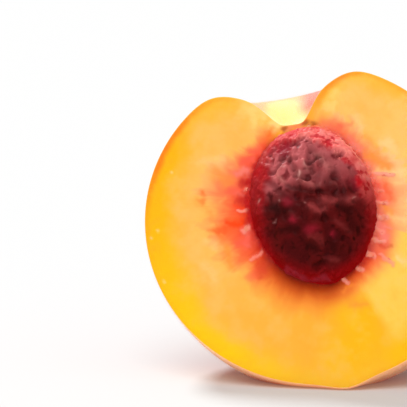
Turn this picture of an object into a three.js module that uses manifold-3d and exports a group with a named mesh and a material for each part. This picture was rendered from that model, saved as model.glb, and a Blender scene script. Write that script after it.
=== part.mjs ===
// Half a yellow peach, cut lengthwise, with its whole stone still sitting in the cut face.
//
// Millimetres, +Z up. The half stands on its broad blossom end and leans back, so the cut face looks
// along -Y and a little upwards, with +X to the right of it. Everything is first drawn in the fruit's own
// frame, where the stem end is up, the knife went through the plane y = 0 and the kept flesh is at y > 0.
// The fruit is then rolled and leaned into its standing place, and the ground trims its small flat spot.

import * as THREE from 'three';
import { mergeVertices } from 'three/addons/utils/BufferGeometryUtils.js';
import Module from 'manifold-3d';

const wasm = await Module();
wasm.setup();

// The fruit. Directions from its middle are two angles in degrees. Polar is 0 at the blossom tip and 180 at
// the stem. Turn is 0 at the right edge of the cut face, 90 down the round back and 180 at the left edge.
const FRUIT_DIAMETER = 71;
const LOPSIDED = 0.85; // the outline swells by this much up to the left and down to the right
const TIP_HEIGHT = 1.2; // the little point at the blossom end
const TIP_ANGLE = 7;
const UNEVENNESS = 0.35; // slow waves over the round back

// The cavity at the stem: a funnel, with a steep flat-floored scar at its bottom.
const FUNNEL = { depth: 7.9, angle: 20.5, steepness: 3.5 };
const SCAR = { depth: 5.7, angle: 12, steepness: 4 };
const CAVITY_BACK_NARROWER = 0.18; // the funnel is narrower across the fruit than along its seam

// The knife followed the seam, which is a shallow groove, so the cheeks swell out behind the cut edge.
const SEAM_DEPTH = 0.95;
const SEAM_DEPTH_BELOW = 1.5;
const SEAM_ANGLE = 14;
const SEAM_END_ANGLE = 30; // the groove fades out this far from the stem

// The stone: a flattened oval with rough furrows, its long way along the fruit's axis.
const STONE_WIDTH = 26.2;
const STONE_THICKNESS = 18.4;
const STONE_LENGTH = 34.2;
const STONE_RISE = 3.3; // its middle lies above the middle of the fruit
const STONE_SHIFT = 0.8; // and a little to the right
const STONE_TIP_HEIGHT = 0.5;
const STONE_TIP_ANGLE = 16;
const FURROW_DEPTH = 1.1;
const FURROW_PITCH = 3.6;
const FURROW_STRETCH = 1.9; // furrows are longer than they are wide by this factor
const FURROW_BEND = 1.4;
const FURROW_SHARPNESS = 5;
const BED_GAP = 0.35; // between the stone and the flesh it lies in

// How the half stands.
const ROLL = 14; // the stem end tips to the left
const LEAN = 24; // and away from the viewer
const SEAT_DEPTH = 3.4; // the ground takes this much off the lowest side of the fruit

// Facets.
const FRUIT_STEPS = { rows: 60, turns: 84 };
const BED_STEPS = { rows: 28, turns: 44 };
const STONE_STEPS = { rows: 38, turns: 48 };

const radians = THREE.MathUtils.degToRad;
const degrees = THREE.MathUtils.radToDeg;

// A hill of height 1 at x = 0 that has almost gone at twice its width. A higher steepness flattens its top.
const bell = (x, width, steepness = 2) => Math.exp(-Math.pow(Math.abs(x / width), steepness));

function direction(polar, turn) {
  const alpha = radians(polar);
  const phi = radians(turn);
  return new THREE.Vector3(
    Math.sin(alpha) * Math.cos(phi),
    Math.sin(alpha) * Math.sin(phi),
    -Math.cos(alpha),
  );
}

// How deep the skin dips into the cavity at the stem.
function cavityDepth(polar, turn) {
  const narrowing = 1 - CAVITY_BACK_NARROWER * Math.pow(Math.sin(radians(turn)), 2);
  const funnel = FUNNEL.depth * bell(180 - polar, FUNNEL.angle * narrowing, FUNNEL.steepness);
  const scar = SCAR.depth * bell(180 - polar, SCAR.angle * narrowing, SCAR.steepness);
  return funnel + scar;
}

// How far the cheek stands out above the bottom of the seam's groove.
function cheekHeight(polar, turn) {
  const out = direction(polar, turn);
  const fromCut = degrees(Math.asin(THREE.MathUtils.clamp(out.y, -1, 1)));
  const beside = SEAM_DEPTH * Math.abs(Math.cos(radians(turn))) * (1 - out.z * out.z);
  const below = SEAM_DEPTH_BELOW * Math.pow(Math.max(0, -out.z), 2);
  return (beside + below) * (1 - bell(fromCut, SEAM_ANGLE)) * (1 - bell(180 - polar, SEAM_END_ANGLE, 4));
}

// A point on the skin.
function fruitPoint(polar, turn) {
  const out = direction(polar, turn);
  const wave = Math.cos(2.6 * radians(turn) + 1.9 * radians(polar));
  const radius = FRUIT_DIAMETER / 2
    - 2 * LOPSIDED * out.x * out.z
    + UNEVENNESS * out.y * wave
    + TIP_HEIGHT * bell(polar, TIP_ANGLE)
    + cheekHeight(polar, turn)
    - cavityDepth(polar, turn);
  return out.multiplyScalar(radius);
}

// A point on the stone's smooth outer oval, grown by a gap. Its blossom end is drawn out a little.
function ovalPoint(polar, turn, gap) {
  const tip = STONE_TIP_HEIGHT * bell(polar, STONE_TIP_ANGLE);
  const half = new THREE.Vector3(STONE_WIDTH / 2, STONE_THICKNESS / 2, STONE_LENGTH / 2 + tip);
  const middle = new THREE.Vector3(STONE_SHIFT, 0, STONE_RISE);
  return direction(polar, turn).multiply(half.addScalar(gap)).add(middle);
}

// A repeatable number from 0 to 1 for each corner of a lattice.
function cornerValue(i, j, k) {
  const mixed = Math.sin(i * 127.1 + j * 311.7 + k * 74.7) * 43758.5453;
  return mixed - Math.floor(mixed);
}

// Smooth noise from 0 to 1, blended between the corners of a lattice.
function noise(x, y, z) {
  const cell = [Math.floor(x), Math.floor(y), Math.floor(z)];
  const ease = [x - cell[0], y - cell[1], z - cell[2]].map((f) => f * f * (3 - 2 * f));
  let sum = 0;
  for (let corner = 0; corner < 8; corner += 1) {
    const step = [corner & 1, (corner >> 1) & 1, (corner >> 2) & 1];
    const weight = step.reduce((w, s, n) => w * (s ? ease[n] : 1 - ease[n]), 1);
    sum += weight * cornerValue(cell[0] + step[0], cell[1] + step[1], cell[2] + step[2]);
  }
  return sum;
}

// Where a point of the oval lies between the ridges, 0, and the bottom of a furrow, 1.
function furrow(point) {
  const x = point.x / FURROW_PITCH;
  const y = point.y / FURROW_PITCH;
  const z = point.z / (FURROW_PITCH * FURROW_STRETCH);
  const bend = FURROW_BEND * (noise(0.6 * x + 7, 0.6 * y + 3, 0.6 * z + 5) - 0.5);
  const wave = noise(x + bend, y - bend, z + 2 * bend);
  return 1 - Math.min(1, Math.abs(wave - 0.5) * FURROW_SHARPNESS);
}

function stonePoint(polar, turn) {
  const outer = ovalPoint(polar, turn, 0);
  const inward = new THREE.Vector3(STONE_SHIFT, 0, STONE_RISE).sub(outer).normalize();
  return outer.addScaledVector(inward, FURROW_DEPTH * furrow(outer));
}

// A closed surface round the axis: a point at each pole and rings of points between them.
function closedSurface(pointAt, steps) {
  const positions = [...pointAt(0, 0)];
  for (let row = 1; row < steps.rows; row += 1) {
    for (let turn = 0; turn < steps.turns; turn += 1) {
      positions.push(...pointAt((180 * row) / steps.rows, (360 * turn) / steps.turns));
    }
  }
  positions.push(...pointAt(180, 0));

  const index = [];
  const last = positions.length / 3 - 1;
  const at = (row, turn) => 1 + (row - 1) * steps.turns + (turn % steps.turns);
  for (let turn = 0; turn < steps.turns; turn += 1) {
    index.push(0, at(1, turn + 1), at(1, turn));
    index.push(last, at(steps.rows - 1, turn), at(steps.rows - 1, turn + 1));
    for (let row = 1; row < steps.rows - 1; row += 1) {
      index.push(at(row, turn), at(row, turn + 1), at(row + 1, turn + 1));
      index.push(at(row, turn), at(row + 1, turn + 1), at(row + 1, turn));
    }
  }

  const geometry = new THREE.BufferGeometry();
  geometry.setAttribute('position', new THREE.Float32BufferAttribute(positions, 3));
  geometry.setIndex(index);
  return geometry;
}

// A block, wider than the fruit, under the plane z = 0.
function blockBelow() {
  const size = 3 * FRUIT_DIAMETER;
  return new THREE.BoxGeometry(size, size, size).translate(0, 0, -size / 2);
}

function toSolid(geometry) {
  const bare = geometry.clone();
  bare.deleteAttribute('normal');
  bare.deleteAttribute('uv');
  const merged = mergeVertices(bare, 1e-5);
  return new wasm.Manifold(new wasm.Mesh({
    numProp: 3,
    vertProperties: new Float32Array(merged.attributes.position.array),
    triVerts: new Uint32Array(merged.index.array),
  }));
}

function toGeometry(solid) {
  const mesh = solid.getMesh();
  const geometry = new THREE.BufferGeometry();
  geometry.setAttribute('position', new THREE.BufferAttribute(mesh.vertProperties, 3));
  geometry.setIndex(new THREE.BufferAttribute(mesh.triVerts, 1));
  return geometry;
}

function namedMesh(name, geometry, material) {
  geometry.computeVertexNormals();
  const mesh = new THREE.Mesh(geometry, new THREE.MeshStandardMaterial(material));
  mesh.name = name;
  return mesh;
}

// The standing place: rolled, leaned back, and lifted until the ground takes SEAT_DEPTH off the lowest side.
const fruit = closedSurface(fruitPoint, FRUIT_STEPS);
const standing = new THREE.Matrix4().makeRotationX(radians(-LEAN));
standing.multiply(new THREE.Matrix4().makeRotationY(radians(-ROLL)));
const lowest = fruit.clone().applyMatrix4(standing);
lowest.computeBoundingBox();
standing.setPosition(0, 0, -lowest.boundingBox.min.z - SEAT_DEPTH);

// Flesh and skin are one piece: the fruit without its front half, the stone's bed and what the ground takes.
const front = blockBelow().rotateX(radians(-90));
const bed = closedSurface((polar, turn) => ovalPoint(polar, turn, BED_GAP), BED_STEPS);
const fleshSolid = toSolid(fruit.applyMatrix4(standing))
  .subtract(toSolid(front.applyMatrix4(standing)))
  .subtract(toSolid(bed.applyMatrix4(standing)))
  .subtract(toSolid(blockBelow()));
const flesh = namedMesh('flesh_half', toGeometry(fleshSolid), {
  color: 0xfec04a,
  roughness: 0.42,
  metalness: 0,
});

const stone = namedMesh('stone', closedSurface(stonePoint, STONE_STEPS).applyMatrix4(standing), {
  color: 0x6a1a20,
  roughness: 0.35,
  metalness: 0,
});

// The origin is on the ground, under the middle of the whole.
const half = new THREE.Group();
half.add(flesh, stone);
const middle = new THREE.Box3().setFromObject(half).getCenter(new THREE.Vector3());
half.position.set(-middle.x, -middle.y, 0);

const peachHalf = new THREE.Group();
peachHalf.add(half);

export default peachHalf;
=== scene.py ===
# %% [markdown]
# # A peach half, step by step
#
# Half a ripe yellow peach stands on its blossom end and leans back. The knife followed the seam and left
# the whole stone in the cut face. A packed solid model gives the true size and place of two nodes, the
# flesh and the stone. This lesson makes a fine mesh for each of them from the same few sizes, paints both
# with procedural materials, and adds what is too small for the solids: shreds of torn flesh round the stone
# and down on the skin.

# %% Load the packed model
import bmesh
import bpy
import numpy as np
from mathutils import Matrix, Vector


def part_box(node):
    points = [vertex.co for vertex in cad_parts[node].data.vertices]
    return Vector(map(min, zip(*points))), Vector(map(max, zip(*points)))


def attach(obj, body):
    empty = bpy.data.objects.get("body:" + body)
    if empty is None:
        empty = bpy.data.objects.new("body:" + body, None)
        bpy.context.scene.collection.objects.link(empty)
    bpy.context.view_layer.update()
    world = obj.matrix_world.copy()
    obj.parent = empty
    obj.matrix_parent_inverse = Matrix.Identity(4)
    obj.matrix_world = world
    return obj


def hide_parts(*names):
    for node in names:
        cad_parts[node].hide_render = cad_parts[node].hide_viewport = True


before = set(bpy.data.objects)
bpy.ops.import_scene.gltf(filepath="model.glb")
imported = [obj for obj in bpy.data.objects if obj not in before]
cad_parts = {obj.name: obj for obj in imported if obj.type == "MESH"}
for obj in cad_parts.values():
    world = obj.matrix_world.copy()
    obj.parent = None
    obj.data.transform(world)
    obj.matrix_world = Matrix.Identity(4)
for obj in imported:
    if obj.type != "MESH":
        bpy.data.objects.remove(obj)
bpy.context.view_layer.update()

# %% [markdown]
# ## Sizes
#
# Every length here is in metres, because Blender's unit is the metre. `MM` lets a size be written the way a
# maker would say it. A direction from the middle of the fruit is two angles in degrees. Polar is 0 at the
# blossom tip and 180 at the stem. Turn is 0 at the right edge of the cut face, 90 down the round back and
# 180 at the left edge. In the fruit's own frame the stem end is up and the knife went through the plane
# y = 0.

# %% Sizes of the fruit and its stone
MM = 0.001
FRUIT_DIAMETER = 71 * MM
LOPSIDED = 0.85 * MM
TIP_HEIGHT, TIP_ANGLE = 1.2 * MM, 7
UNEVENNESS, WAVES_ROUND, WAVES_DOWN = 0.35 * MM, 2.6, 1.9  # slow waves over the round back
FUNNEL_DEPTH, FUNNEL_ANGLE, FUNNEL_STEEPNESS = 7.9 * MM, 20.5, 3.5
SCAR_DEPTH, SCAR_ANGLE, SCAR_STEEPNESS = 5.7 * MM, 12, 4
CAVITY_BACK_NARROWER = 0.18
SEAM_DEPTH, SEAM_DEPTH_BELOW = 0.95 * MM, 1.5 * MM
SEAM_ANGLE, SEAM_END_ANGLE = 14, 30
STONE_HALF = np.array([26.2, 18.4, 34.2]) / 2 * MM
STONE_MIDDLE = np.array([0.8, 0, 3.3]) * MM
STONE_TIP_HEIGHT, STONE_TIP_ANGLE = 0.5 * MM, 16
FURROW_DEPTH, FURROW_PITCH = 1.1 * MM, 3.6 * MM
FURROW_STRETCH, FURROW_BEND, FURROW_SHARPNESS = 1.9, 1.4, 5
ROLL, LEAN = 14, 24
SEAT_DEPTH = 3.4 * MM
print("stone, mm:", np.round(2 * STONE_HALF / MM, 1))

# %% Rules for the fruit's form
def bell(x, width, steepness=2):
    """A hill of height 1 at x = 0 that has almost gone at twice its width."""
    return np.exp(-np.abs(x / width) ** steepness)


def direction(polar, turn):
    """A unit vector from the middle of the fruit."""
    a, f = np.radians(polar), np.radians(turn)
    return np.stack([np.sin(a) * np.cos(f), np.sin(a) * np.sin(f), -np.cos(a)], -1)


def cavity_depth(polar, turn):
    """How deep the skin dips into the cavity at the stem."""
    narrowing = 1 - CAVITY_BACK_NARROWER * np.sin(np.radians(turn)) ** 2
    funnel = FUNNEL_DEPTH * bell(180 - polar, FUNNEL_ANGLE * narrowing, FUNNEL_STEEPNESS)
    scar = SCAR_DEPTH * bell(180 - polar, SCAR_ANGLE * narrowing, SCAR_STEEPNESS)
    return funnel + scar


def cheek_height(polar, turn, out):
    """The knife followed a shallow groove, so the cheeks swell out behind the cut edge."""
    from_cut = np.degrees(np.arcsin(np.clip(out[..., 1], -1, 1)))
    beside = SEAM_DEPTH * np.abs(np.cos(np.radians(turn))) * (1 - out[..., 2] ** 2)
    below = SEAM_DEPTH_BELOW * np.maximum(0, -out[..., 2]) ** 2
    fading = 1 - bell(180 - polar, SEAM_END_ANGLE, 4)
    return (beside + below) * (1 - bell(from_cut, SEAM_ANGLE)) * fading


def fruit_points(polar, turn):
    """Points on the skin, in the fruit's own frame."""
    out = direction(polar, turn)
    wave = np.cos(WAVES_ROUND * np.radians(turn) + WAVES_DOWN * np.radians(polar))
    radius = (
        FRUIT_DIAMETER / 2
        - 2 * LOPSIDED * out[..., 0] * out[..., 2]
        + UNEVENNESS * out[..., 1] * wave
        + TIP_HEIGHT * bell(polar, TIP_ANGLE)
        + cheek_height(polar, turn, out)
        - cavity_depth(polar, turn)
    )
    return out * radius[..., None]


poles = fruit_points(np.array([0.0, 180.0]), np.zeros(2))
print("blossom tip and cavity floor, mm from the middle:", np.round(poles[:, 2] / MM, 1))

# %% [markdown]
# ## Where the half stands
#
# The solid model was rolled to the left, leaned back and set down until the ground took a thin slice off
# its lowest side. The same three moves in one matrix bring every point of the fine meshes to the same
# place. The last move puts the middle of the half over the origin, and it is measured against the solid
# node's box.

# %% The standing matrix
coarse_polar, coarse_turn = np.meshgrid(np.linspace(0, 180, 181), np.linspace(0, 360, 361), indexing="ij")
whole_fruit = fruit_points(coarse_polar, coarse_turn).reshape(-1, 3)
turned = np.array(Matrix.Rotation(np.radians(-LEAN), 3, "X") @ Matrix.Rotation(np.radians(-ROLL), 3, "Y"))
lift = -SEAT_DEPTH - (whole_fruit @ turned.T)[:, 2].min()
rough_half = whole_fruit[whole_fruit[:, 1] > -1e-9] @ turned.T
rough_half = rough_half[rough_half[:, 2] > -lift]
node_low, node_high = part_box("flesh_half")
box_middle = (np.array(node_low) + np.array(node_high))[:2] / 2
fruit_middle = np.append(box_middle - (rough_half.min(0) + rough_half.max(0))[:2] / 2, lift)


def stand(points):
    """From the fruit's own frame to where the half stands. The ground presses its lowest side flat."""
    placed = points @ turned.T + fruit_middle
    placed[:, 2] = np.maximum(placed[:, 2], 0)
    return placed


print("middle of the fruit, mm:", np.round(fruit_middle / MM, 2))

# %% [markdown]
# ## Helpers for meshes
#
# A surface made from rules is a grid of points, and numpy works out thousands of them at once. One helper
# turns a grid of point numbers into four-sided faces, and one makes the Blender object. Smooth noise is
# worked out here too, for relief that has to match the solids: each corner of a lattice gets a repeatable
# number.

# %% Mesh helpers
def grid_faces(numbers, flip=False):
    """Four-sided faces between neighbouring points of a grid of point numbers."""
    a, b = numbers[:-1, :-1], numbers[:-1, 1:]
    c, d = numbers[1:, 1:], numbers[1:, :-1]
    faces = np.stack([a, b, c, d], -1).reshape(-1, 4)
    return faces[:, ::-1] if flip else faces


def drop_doubles(faces):
    """A face at a pole has one corner twice. It becomes a triangle."""
    made = []
    for face in faces.tolist():
        corners = [c for i, c in enumerate(face) if c != face[i - 1]]
        if len(corners) > 2:
            made.append(corners)
    return made


def mesh_object(name, points, faces):
    """A smooth-shaded object at the origin."""
    mesh = bpy.data.meshes.new(name)
    mesh.from_pydata(points.tolist(), [], faces)
    mesh.validate()
    mesh.shade_smooth()
    made = bpy.data.objects.new(name, mesh)
    bpy.context.collection.objects.link(made)
    return made


def store(mesh, name, values):
    """Keeps a number or a vector for each point, for the materials to read."""
    vector = np.ndim(values) == 2
    layer = mesh.attributes.new(name, "FLOAT_VECTOR" if vector else "FLOAT", "POINT")
    layer.data.foreach_set("vector" if vector else "value", np.asarray(values, np.float32).ravel())


def drop_loose(mesh):
    """Each pole took one point of its row, so the row's other points hold no face."""
    work = bmesh.new()
    work.from_mesh(mesh)
    loose = [v for v in work.verts if not v.link_faces]
    bmesh.ops.delete(work, geom=loose, context="VERTS")
    work.to_mesh(mesh)
    work.free()
    print(mesh.name, "lost", len(loose), "loose points")


print("a grid of 3 by 4 points has", len(grid_faces(np.arange(12).reshape(3, 4))), "faces")

# %% Smooth noise
def corner_values(corner):
    """A repeatable number from 0 to 1 for each corner of the lattice."""
    mixed = np.sin(corner @ np.array([127.1, 311.7, 74.7])) * 43758.5453
    return mixed - np.floor(mixed)


def noise(points):
    """Smooth noise from 0 to 1, blended between the corners of a lattice of unit cells."""
    cell = np.floor(points)
    part = points - cell
    ease = part * part * (3 - 2 * part)
    total = np.zeros(len(points))
    for number in range(8):
        step = np.array([number & 1, number >> 1 & 1, number >> 2 & 1])
        weight = np.prod(np.where(step == 1, ease, 1 - ease), axis=1)
        total += weight * corner_values(cell + step)
    return total


def layered(points, layers=3):
    """Noise from 0 to 1 in layers, each of them twice as fine and half as strong as the one before."""
    weights = 0.5 ** np.arange(layers)
    total = sum(weight * noise(points * 2 ** i + 17 * i) for i, weight in enumerate(weights))
    return total / weights.sum()


sample = layered(np.linspace(0, 90, 3000).reshape(-1, 3))
print("layered noise runs from", sample.min().round(2), "to", sample.max().round(2))

# %% Values that change with direction
def turn_between(angle, centre):
    """The turn from one direction to another, in degrees, the short way round."""
    return (angle - centre + 180) % 360 - 180


def hills(angle, base, rises):
    """A value that varies round the stone: a base, and a hill for each (direction, half-width, height)."""
    return base + sum(height * bell(turn_between(angle, at), width) for at, width, height in rises)


print("from 350 to 10 degrees is a turn of", turn_between(10, 350))

# %% [markdown]
# ## The half: skin, cut face and bed in one closed mesh
#
# A real half is one piece of fruit, so its mesh is one closed body. It could be cut with a Boolean, but
# that leaves ragged triangles along the very edges that catch the eye. Here three grids share their borders
# instead. The skin runs from tip to stem. The cut face fans out from the stone to the rim, so that its grid
# lines lie the way the fibres of the flesh do. The bed is a shallow bowl under the stone.

# %% Skin grid
SKIN_ROWS, SKIN_TURNS = 220, 170
FACE_RINGS, BED_RINGS = 100, 22
EDGE_CROWDING = 0.7  # grid lines crowd towards the cut edge, where the skin folds over
EDGE_ROUND = 0.3 * MM

share = np.linspace(0, 1, SKIN_TURNS + 1)
turns = 180 * (share - EDGE_CROWDING * np.sin(2 * np.pi * share) / (2 * np.pi))
polars = np.linspace(0, 180, SKIN_ROWS + 1)
skin_polar, skin_turn = np.meshgrid(polars, turns, indexing="ij")
skin_points = fruit_points(skin_polar, skin_turn)
skin_numbers = np.arange(skin_polar.size).reshape(skin_polar.shape)
skin_numbers[0] = skin_numbers[0, 0]
skin_numbers[-1] = skin_numbers[-1, 0]
print("skin grid:", skin_numbers.shape)

# %% Rays from the stone to the rim
BED_GAP = 0.04 * MM

# The rim runs up the right side from the tip, over the cavity's floor, and down the left side.
rim_numbers = np.concatenate([skin_numbers[:, 0], skin_numbers[-2:0:-1, -1]])
rim = skin_points.reshape(-1, 3)[rim_numbers]
toward = rim - STONE_MIDDLE
around = np.unwrap(np.arctan2(toward[:, 2], toward[:, 0]))
assert (np.diff(around) > 0).all(), "the fan would fold over itself"
bed_half = STONE_HALF + BED_GAP
bed_reach = 1 / np.hypot(np.cos(around) / bed_half[0], np.sin(around) / bed_half[2])
rays = np.stack([np.cos(around), np.zeros_like(around), np.sin(around)], -1)
rim_gap = np.linalg.norm(toward, axis=1) - bed_reach
print("flesh between stone and rim, mm:", np.round(np.array([rim_gap.min(), rim_gap.max()]) / MM, 1))

# %% [markdown]
# ### The torn collar
#
# Ripe flesh doesn't end at the stone in a clean line. It holds on, tears, and leaves an uneven collar that
# climbs up the stone's side. So the inner edge of the cut face lies on the stone's oval, a little or a lot
# above the cut plane, and the bed starts there. The collar is high at the upper right and hardly there
# below.

# %% Collar
COLLAR_HEIGHT = 0.5  # millimetres, before the hills below are added
COLLAR_HILLS = [(45, 34, 1.9), (0, 20, 1.1), (178, 26, 0.7), (-40, 12, 0.9), (-140, 14, 0.5)]
COLLAR_WIDTH = 0.8 * MM
THIN_FLESH, THICKENING = 1.2 * MM, 3 * MM  # the collar is low where little flesh is left beside the stone


def round_stone(lines, start=0.0, layers=2):
    """Noise round the stone with about this many lumps in one turn."""
    reach = lines / (2 * np.pi)
    circle = np.column_stack([np.cos(around) * reach + 50, np.sin(around) * reach, 0 * around + start])
    return layered(circle, layers)


collar = hills(np.degrees(around), COLLAR_HEIGHT, COLLAR_HILLS) * MM
collar *= 0.1 + 1.8 * round_stone(40, 3, 3)  # torn: here a tenth of its height, there nearly twice
collar *= np.clip((rim_gap - THIN_FLESH) / THICKENING, 0.15, 1)
collar_angle = np.arcsin(collar / bed_half[1])
collar_edge = STONE_MIDDLE + rays * (bed_reach * np.cos(collar_angle))[:, None]
ledge = COLLAR_WIDTH * (0.5 + 1.1 * round_stone(60, 7))
print("collar, mm:", np.round(np.array([collar.min(), collar.max()]) / MM, 2))

# %% Cut face grid
FACE_CROWDING = 1.3  # rings crowd towards the stone

out_share = np.linspace(0, 1, FACE_RINGS + 1)[:, None, None] ** FACE_CROWDING
face_points = collar_edge + (rim - collar_edge) * out_share
face_start = skin_numbers.size
face_numbers = face_start + np.arange(FACE_RINGS * len(rim)).reshape(FACE_RINGS, -1)
face_numbers = np.vstack([face_numbers, rim_numbers])
print("cut face grid:", face_numbers.shape)

# %% [markdown]
# ### Torn shreds
#
# Where ripe flesh tears off the stone it leaves short soft shreds, paler than the flesh they came from.
# They are listed as soft lines: two ends, a half-width and a strength, in millimetres right of and above
# the middle of the fruit. Paint alone would stay flat, so the same lines also lift the cut face a little.

# %% Lines of the shreds
SHREDS = [
    (15.1, 7.0, 18.4, 6.0, 0.42, 0.9), (13.9, 0.5, 16.2, 0.2, 0.42, 0.8),
    (13.1, -2.5, 15.2, -3.0, 0.6, 0.9), (13.0, -5.1, 14.1, -5.8, 0.5, 0.6),
    (12.1, -7.2, 13.7, -7.8, 0.5, 0.9), (8.9, -9.3, 11.0, -10.5, 0.55, 0.7),
    (12.5, -10.4, 14.5, -13.1, 0.45, 0.6), (7.0, -12.2, 7.9, -12.9, 0.5, 0.7),
    (3.8, -14.1, 4.5, -14.7, 0.4, 0.8), (-12.5, 9.8, -11.9, 9.7, 0.4, 0.7),
    (-15.1, 5.7, -13.0, 5.2, 0.35, 0.7), (-14.2, -5.3, -11.8, -4.3, 0.45, 0.5),
    (-14.7, 0.9, -13.4, 1.9, 0.6, 0.5), (14.3, 3.1, 15.6, 3.0, 0.35, 0.4),
    (14.4, -4.6, 15.9, -5.6, 0.35, 0.4),
]


def strokes(at, lines, steepness=2):
    """How strongly each point, given in millimetres, lies on one of the soft lines."""
    total = np.zeros(len(at))
    for x0, z0, x1, z1, width, strength in lines:
        start, along = np.array([x0, z0]), np.array([x1 - x0, z1 - z0])
        share = np.clip((at - start) @ along / (along @ along), 0, 1)
        away = np.linalg.norm(at - start - share[:, None] * along, axis=1)
        total = np.maximum(total, strength * bell(away, width, steepness))
    return total


def astray(points, pitch, start):
    """Noise from -0.5 to 0.5 across the cut plane, which bends soft lines so that none stays straight."""
    return np.column_stack([layered(points / pitch + start + step) for step in (0, 23)]) - 0.5


print("shreds laid out by hand:", len(SHREDS))

# %% Distances on the cut face
flat_face = face_points.reshape(-1, 3)
on_face = flat_face[:, [0, 2]] / MM
face_rays = np.tile(np.stack([np.cos(around), np.sin(around)], -1), (FACE_RINGS + 1, 1))
from_edge = np.linalg.norm(face_points - collar_edge, axis=-1)
from_bed = (from_edge - bed_reach * (1 - np.cos(collar_angle))).ravel()
climb = (collar * bell(from_edge, ledge)).ravel()
from_collar = from_edge.ravel()
from_rim = np.concatenate([
    np.linalg.norm(chunk[:, None] - rim[None], axis=-1).min(1)
    for chunk in np.array_split(flat_face, 40)
])
print("farthest from the skin, mm:", (from_rim.max() / MM).round(1))

# %% Relief of the cut face
WAVE_HEIGHT, WAVE_PITCH = 0.22 * MM, 11 * MM
RIDGE_HEIGHT, RIDGE_LINES, RIDGE_LENGTH = 0.07 * MM, 70, 9 * MM
LUMP_SHARE, LUMP_PITCH = 0.7, 0.9 * MM  # how much of the collar's height its lumps take or add
SHRED_RISE, SHRED_PITCH, SHRED_BEND = 0.25 * MM, 0.9 * MM, 0.9  # noise bends the shreds, in millimetres
CALM_AT_STONE, CALM_AT_RIM = 0.3 * MM, 1.6 * MM  # the relief dies out this close to them
COLLAR_ENDS = 0.6 * MM  # and the collar this close to the skin


def rays_pattern(lines, stretch):
    """Noise drawn out along the rays from the stone, with about this many lines round it."""
    reach = lines / (2 * np.pi)
    return noise(np.column_stack([face_rays * reach + 50, from_bed / stretch]))


shreds = strokes(on_face + astray(flat_face, SHRED_PITCH, 4) * SHRED_BEND, SHREDS)
wave = WAVE_HEIGHT * 2 * (noise(flat_face / WAVE_PITCH + 3) - 0.5)
ridges = RIDGE_HEIGHT * (rays_pattern(RIDGE_LINES, RIDGE_LENGTH) - 0.5)
lumps = climb * LUMP_SHARE * 2 * (layered(flat_face / LUMP_PITCH + 5, 2) - 0.5)
relief = wave + ridges + lumps + shreds * SHRED_RISE
toward_viewer = relief * (1 - bell(from_collar, CALM_AT_STONE)) * (1 - bell(from_rim, CALM_AT_RIM))
toward_viewer += climb * (1 - bell(from_rim, COLLAR_ENDS))
face_relief = flat_face - np.outer(toward_viewer, [0, 1, 0])
print("face relief, mm:", np.round(np.array([toward_viewer.min(), toward_viewer.max()]) / MM, 2))

# %% Rounded cut edge
CORNER_CUT = EDGE_ROUND * (1 - np.sqrt(0.5))


def edge_pull(distance):
    """How far each side of the cut edge is drawn in, so that the two meet in a small round."""
    return CORNER_CUT * np.maximum(0, 1 - distance / EDGE_ROUND) ** 2


face_relief[:, 1] += edge_pull(from_rim)
skin_flat = skin_points.reshape(-1, 3)
behind = skin_flat[:, 1].copy()
skin_out = direction(skin_polar, skin_turn).reshape(-1, 3)
skin_round = skin_flat - skin_out * edge_pull(behind)[:, None]
skin_round[rim_numbers, 1] += CORNER_CUT
print("cut edge rounded by, mm:", round(EDGE_ROUND / MM, 2))

# %% Bed grid
bed_share = np.linspace(0, 1, BED_RINGS + 1)[1:, None]
bed_angle = (np.pi / 2 + collar_angle) * bed_share - collar_angle
bowl = rays * bed_reach[:, None] * np.cos(bed_angle)[..., None]
bowl[..., 1] = bed_half[1] * np.sin(bed_angle)
bed_points = (bowl + STONE_MIDDLE).reshape(-1, 3)
bed_start = face_start + FACE_RINGS * len(rim)
bed_numbers = bed_start + np.arange(len(bed_points)).reshape(BED_RINGS, -1)
bed_numbers[-1] = bed_numbers[-1, 0]
bed_numbers = np.vstack([face_numbers[0], bed_numbers])
print("bed grid:", bed_numbers.shape)

# %% One closed mesh
def ring(numbers):
    """Repeats the first column, so that the grid closes on itself."""
    return np.column_stack([numbers, numbers[:, 0]])


own_face = face_relief[: FACE_RINGS * len(rim)]
half_points = np.vstack([skin_round, own_face, bed_points])
regions = [
    drop_doubles(grid_faces(skin_numbers)),
    drop_doubles(grid_faces(ring(face_numbers), flip=True)),
    drop_doubles(grid_faces(ring(bed_numbers))),
]
half_faces = sum(regions, [])
half = mesh_object("peach_flesh", stand(half_points), half_faces)
SKIN, FACE, BED = 0, 1, 2  # the number of each region's material
region_of_face = np.repeat([SKIN, FACE, BED], [len(region) for region in regions])
half.data.polygons.foreach_set("material_index", region_of_face)
print("half:", len(half.data.vertices), "points,", len(half.data.polygons), "faces")

# %% [markdown]
# ### What the materials need to know
#
# The flesh changes colour with its distance from the stone and from the skin, and its fibres run straight
# out from the stone. The skin's streaks run from stem to tip. These are facts about the shape, so they are
# worked out once and kept on the points as attributes, which is steadier than guessing them in the shader
# from coordinates.

# %% Directions that differ
RED_REACH = 6.0  # how far the red runs out from the stone, in millimetres, before the hills below are added
RED_HILLS = [
    (178, 22, 3.6), (150, 18, 2.0), (-150, 20, 1.6), (-112, 30, 1.8), (-42, 10, 1.0), (-6, 16, 0.2),
    (60, 24, -2.2), (104, 9, -2.0), (121, 9, -2.6), (-66, 12, -1.6),
]
PINK_SIDES = [(8, 52, 1.0), (150, 16, 0.25), (80, 14, 0.5)]  # where the red turns to coral
STONE_SHADOW_SIDE = (-104, 42)  # painted shadow: below the stone the flesh turns a brownish orange, the shade that the stone casts
GOLD_SECTOR = (-83, 16)  # and right under it one narrow sector is gold
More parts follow.
